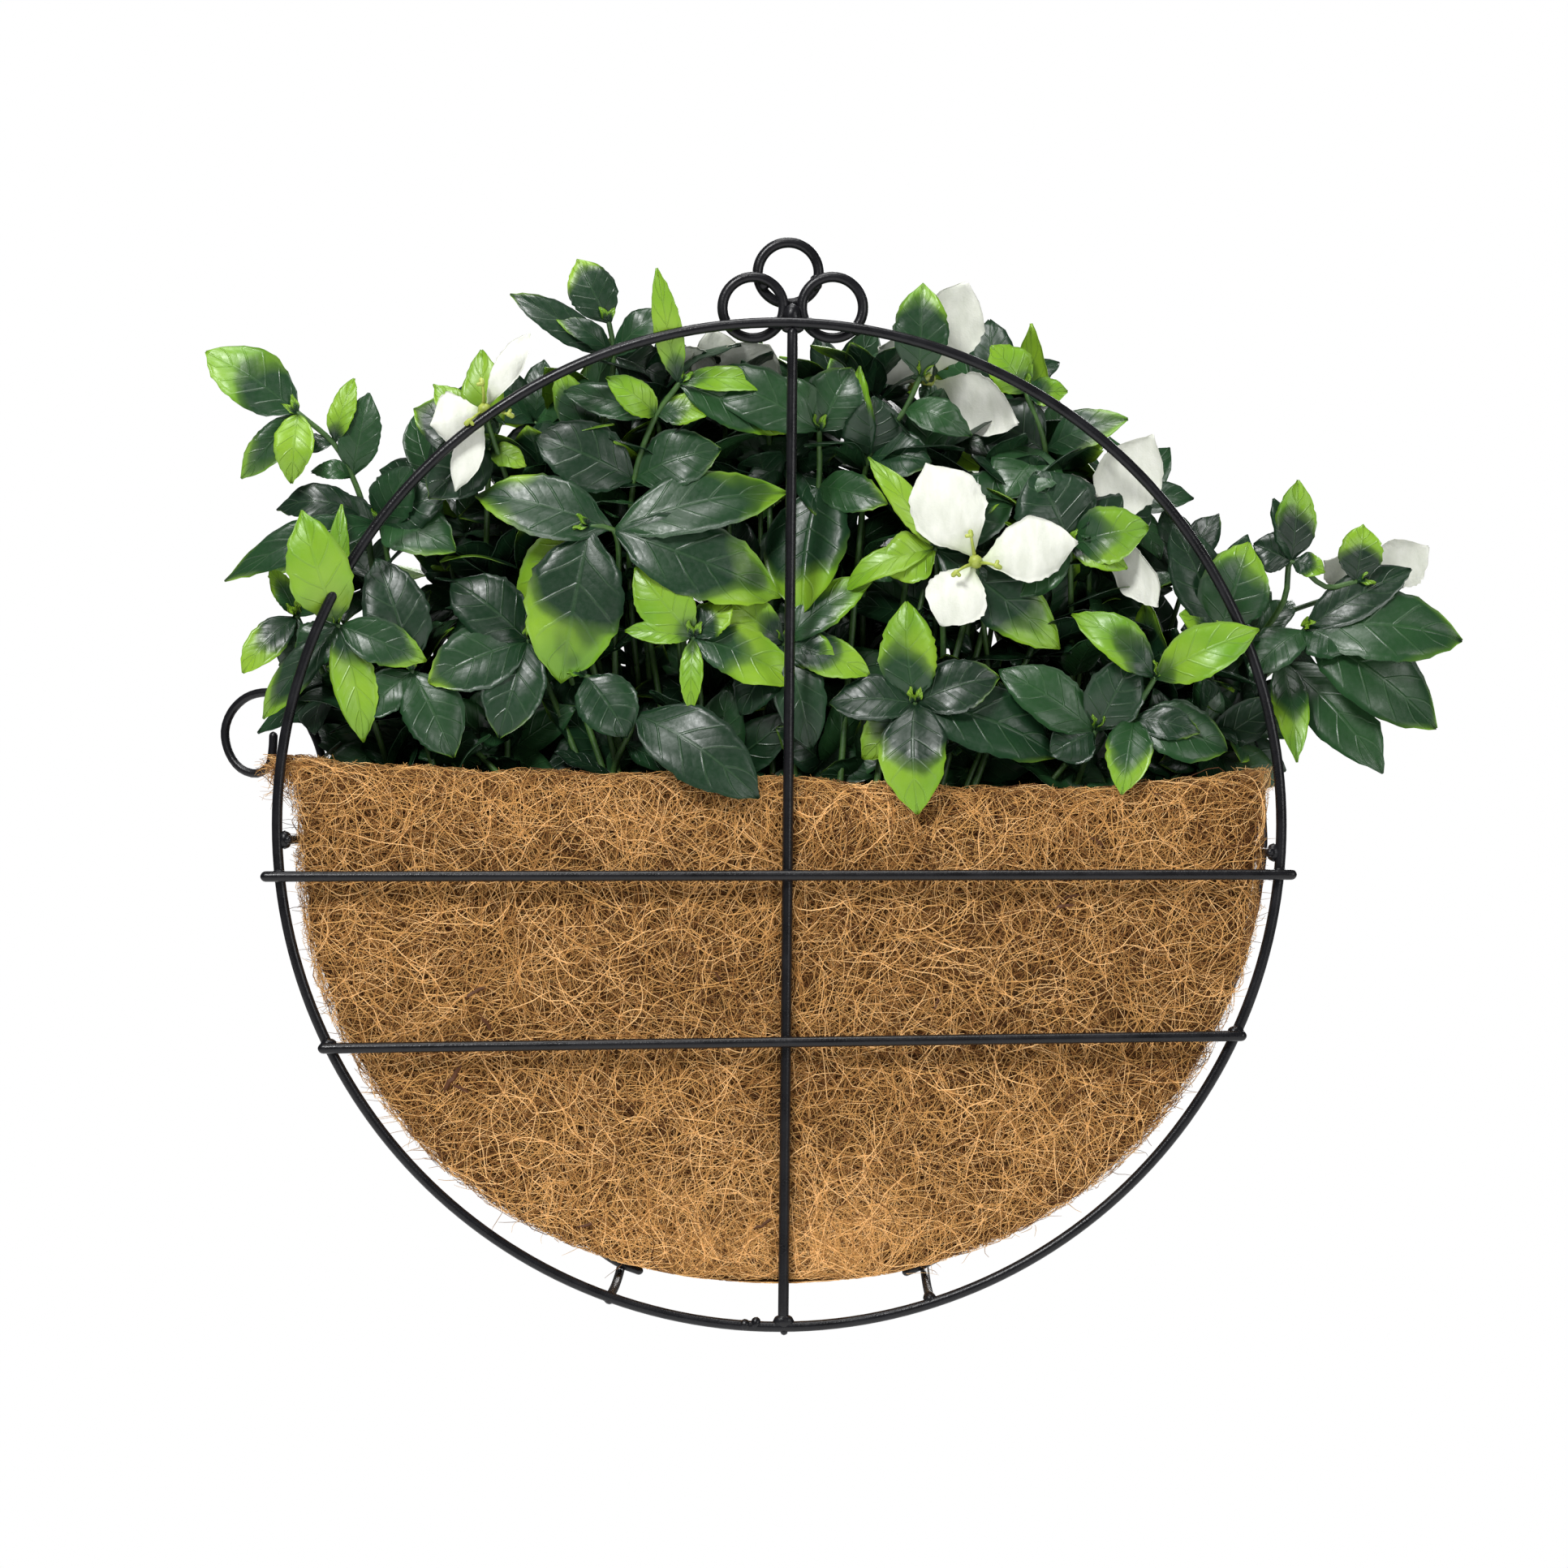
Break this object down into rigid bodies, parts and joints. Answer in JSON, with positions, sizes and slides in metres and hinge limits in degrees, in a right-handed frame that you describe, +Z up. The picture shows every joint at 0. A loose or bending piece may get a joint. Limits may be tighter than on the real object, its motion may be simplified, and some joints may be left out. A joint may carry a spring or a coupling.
{
  "type": "wall hanging basket",
  "caption": "Half-round wall hanging basket: black wire cage with scrolled ribs and a hanging eye, coir liner and an artificial gardenia planting that lifts out.",
  "frame": {"origin": "centre of the hanging eye, where the basket hangs from a wall hook", "axes": "+Z up, +Y towards the wall, -Y the way the bowl bulges, +X to the left as seen from the wall side"},
  "size_m": [0.5053, 0.2364, 0.4329],
  "materials": {
    "black_powder_coat": "satin",
    "coir": "matte",
    "green_foam": "matte",
    "leaf_plastic": "satin",
    "white_petal": "matte"
  },
  "bodies": {
    "cage": {"main_ring": "black_powder_coat", "centre_bar": "black_powder_coat", "upper_cross_bar": "black_powder_coat", "lower_cross_bar": "black_powder_coat", "hanging_eye": "black_powder_coat", "left_base_eye": "black_powder_coat", "right_base_eye": "black_powder_coat", "front_hoop": "black_powder_coat", "left_front_rib": "black_powder_coat", "right_front_rib": "black_powder_coat", "left_side_rib": "black_powder_coat", "right_side_rib": "black_powder_coat"},
    "planting": {"coir_liner": "coir", "flower_centre": "white_petal", "flower_far_right": "white_petal", "flower_front_left": "white_petal", "flower_front_right": "white_petal", "flower_left": "white_petal", "flower_right": "white_petal", "flower_top_left": "white_petal", "flower_top_right": "white_petal", "foam_block": "green_foam", "spray_bright_right": "leaf_plastic", "spray_centre": "leaf_plastic", "spray_centre_left": "leaf_plastic", "spray_centre_right": "leaf_plastic", "spray_crest_left": "leaf_plastic", "spray_crest_right": "leaf_plastic", "spray_crown": "leaf_plastic", "spray_far_left": "leaf_plastic", "spray_far_right": "leaf_plastic", "spray_front_1": "leaf_plastic", "spray_front_2": "leaf_plastic", "spray_front_3": "leaf_plastic", "spray_front_4": "leaf_plastic", "spray_front_5": "leaf_plastic", "spray_front_6": "leaf_plastic", "spray_front_7": "leaf_plastic", "spray_front_8": "leaf_plastic", "spray_high_left": "leaf_plastic", "spray_high_right": "leaf_plastic", "spray_low_right": "leaf_plastic", "spray_middle": "leaf_plastic", "spray_outer_left": "leaf_plastic", "spray_outer_right": "leaf_plastic", "spray_rim_centre": "leaf_plastic", "spray_rim_left": "leaf_plastic", "spray_rim_right": "leaf_plastic", "spray_ring_left": "leaf_plastic", "spray_ring_right": "leaf_plastic", "spray_shoulder_left": "leaf_plastic", "spray_shoulder_right": "leaf_plastic", "spray_upper_left": "leaf_plastic", "spray_wing_left": "leaf_plastic"}
  },
  "joints": [
    {"name": "planting_lift", "type": "slide", "parent": "cage", "child": "planting", "axis": [0, 0, 1], "range_m": [0, 0.1]}
  ]
}
